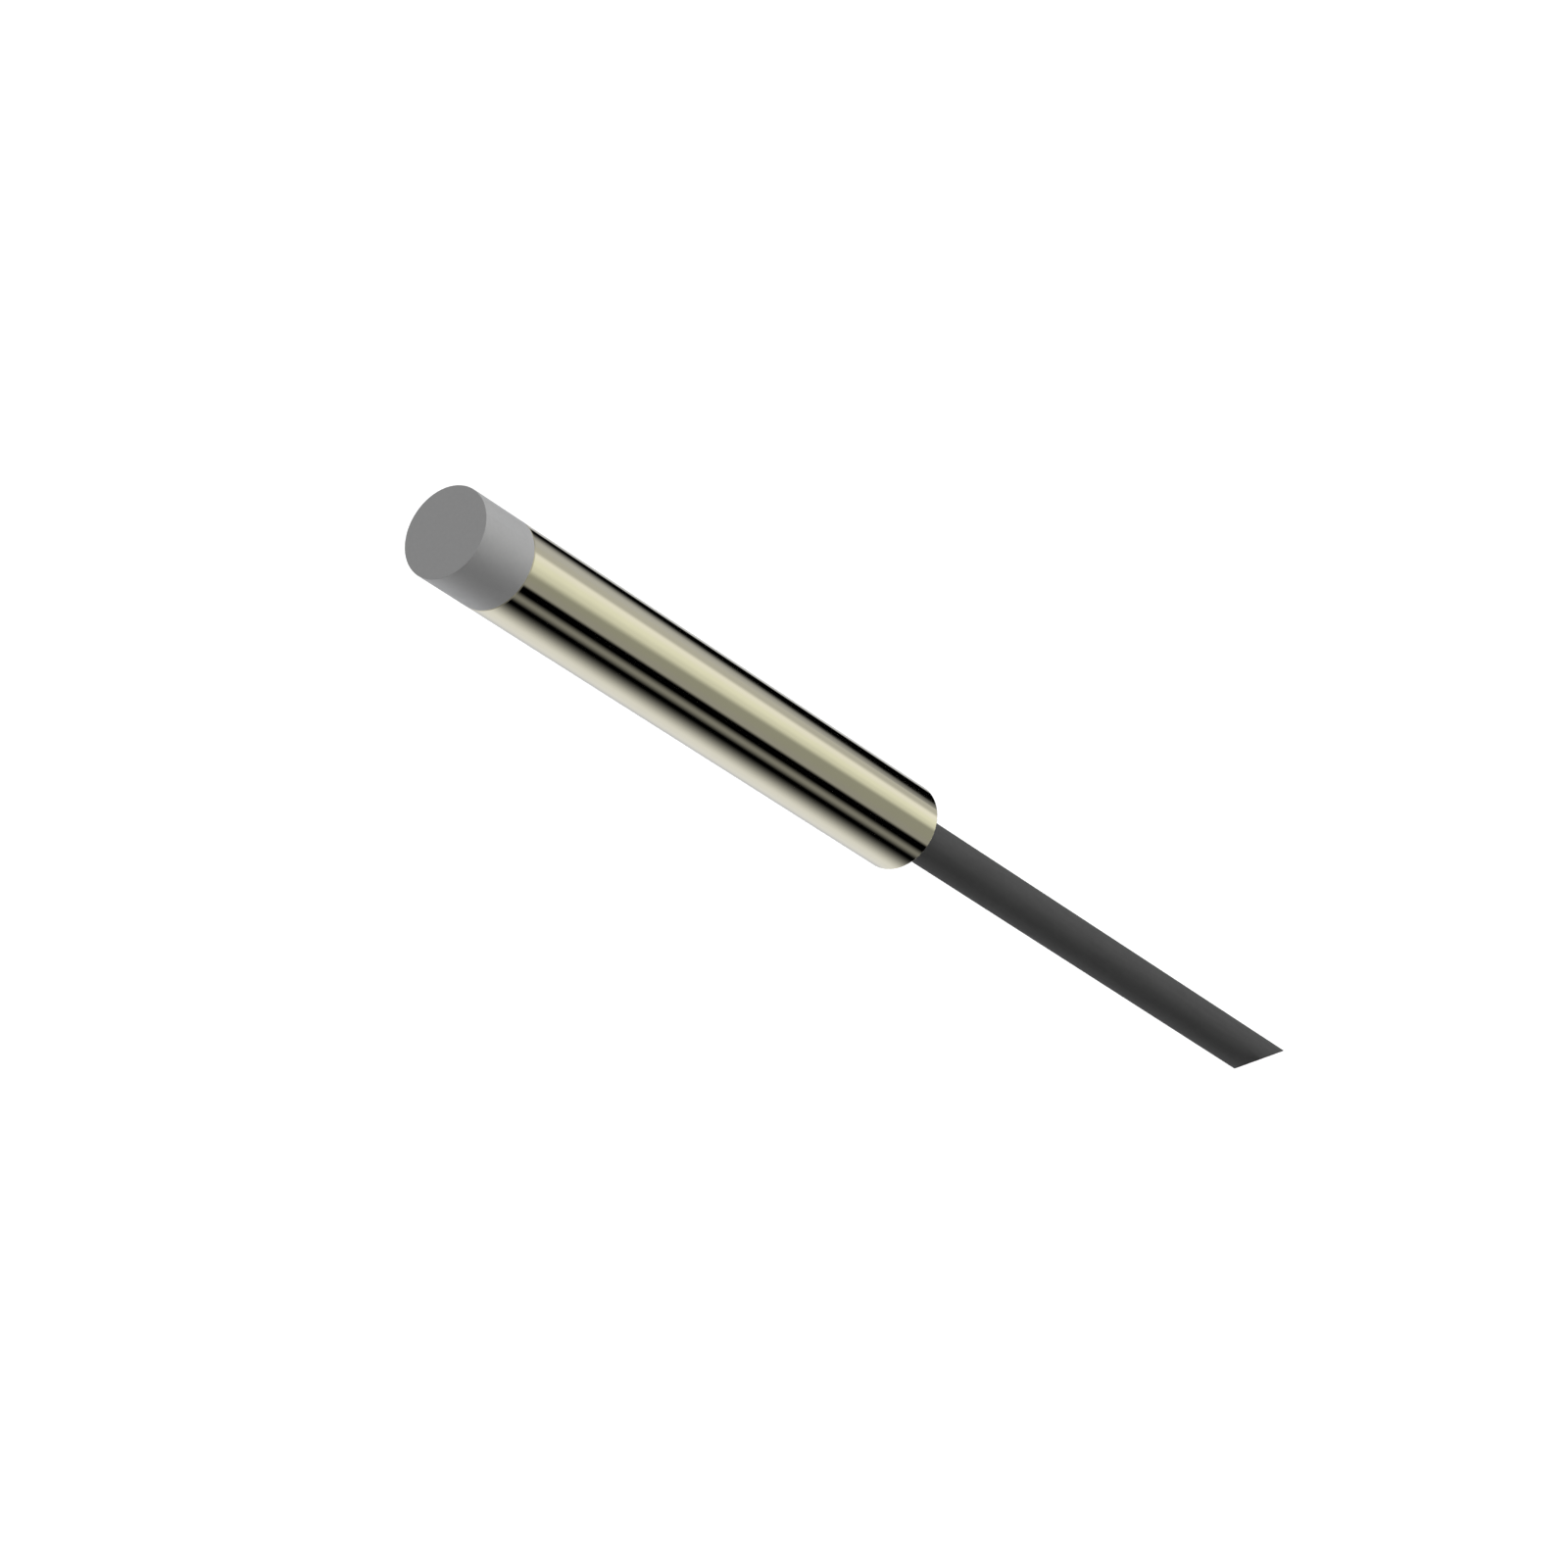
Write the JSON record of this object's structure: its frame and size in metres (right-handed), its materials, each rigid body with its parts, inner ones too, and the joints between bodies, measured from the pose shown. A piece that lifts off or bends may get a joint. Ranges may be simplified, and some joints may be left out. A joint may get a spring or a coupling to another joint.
{
  "type": "inductive proximity sensor",
  "caption": "Slim smooth-barrel inductive proximity sensor: plated metal barrel, grey sensing cap, pot core, coil, circuit board in potting, and a short dark cable cut at a slant.",
  "frame": {"origin": "on the barrel's axis, halfway between the front rim and the rear face of the metal barrel, where a clamp block grips it", "axes": "+Z along the barrel's axis towards the sensing face, with the cable hanging straight down along -Z; -Y is the side that the slanted cut of the cable's end faces; +X completes the right-handed frame"},
  "size_m": [0.008, 0.008, 0.1308],
  "materials": {
    "nickel_plate": "bright nickel plate on turned brass, smooth, slightly warm",
    "cap_plastic": "moulded mid-grey plastic, fine matt texture",
    "cable_sheath": "dark grey flexible sheath, satin",
    "ferrite": "sintered dark grey ferrite, matt",
    "bobbin_plastic": "natural moulded plastic",
    "copper_wire": "enamelled copper wire",
    "holder_plastic": "black moulded plastic",
    "potting_resin": "cast dark resin with a glossy meniscus",
    "board": "glass-fibre circuit board with green solder mask",
    "insulating_film": "thin amber insulating film",
    "chip_body": "black moulded chip package",
    "tantalum_body": "yellow moulded capacitor body",
    "chip_ceramic": "tan fired ceramic with tinned ends",
    "solder": "bright solder",
    "brown_pvc": "brown wire insulation",
    "blue_pvc": "blue wire insulation",
    "black_pvc": "black wire insulation",
    "bare_copper": "bare stranded copper",
    "seal_rubber": "black elastomer",
    "raw_brass": "plain brass, crimped"
  },
  "bodies": {
    "root": {"barrel": "nickel_plate", "sensing_cap": "cap_plastic", "ferrite_core": "ferrite", "coil_bobbin": "bobbin_plastic", "coil_winding": "copper_wire", "core_holder": "holder_plastic", "cap_potting": "potting_resin", "circuit_board": "board", "insulating_sleeve": "insulating_film", "sensor_ic": "chip_body", "output_transistor": "chip_body", "protection_diode": "chip_body", "filter_capacitor": "tantalum_body", "chip_capacitor_1": "chip_ceramic", "chip_capacitor_2": "chip_ceramic", "chip_capacitor_3": "chip_ceramic", "chip_resistor_1": "chip_body", "chip_resistor_2": "chip_body", "chip_resistor_3": "chip_body", "chip_resistor_4": "chip_body", "coil_solder_1": "solder", "coil_solder_2": "solder", "brown_solder": "solder", "blue_solder": "solder", "black_solder": "solder", "brown_insulation": "brown_pvc", "blue_insulation": "blue_pvc", "black_insulation": "black_pvc", "brown_conductor": "bare_copper", "blue_conductor": "bare_copper", "black_conductor": "bare_copper", "cable_seal": "seal_rubber", "crimp_sleeve": "raw_brass", "rear_potting": "potting_resin", "cable": "cable_sheath"}
  },
  "joints": []
}
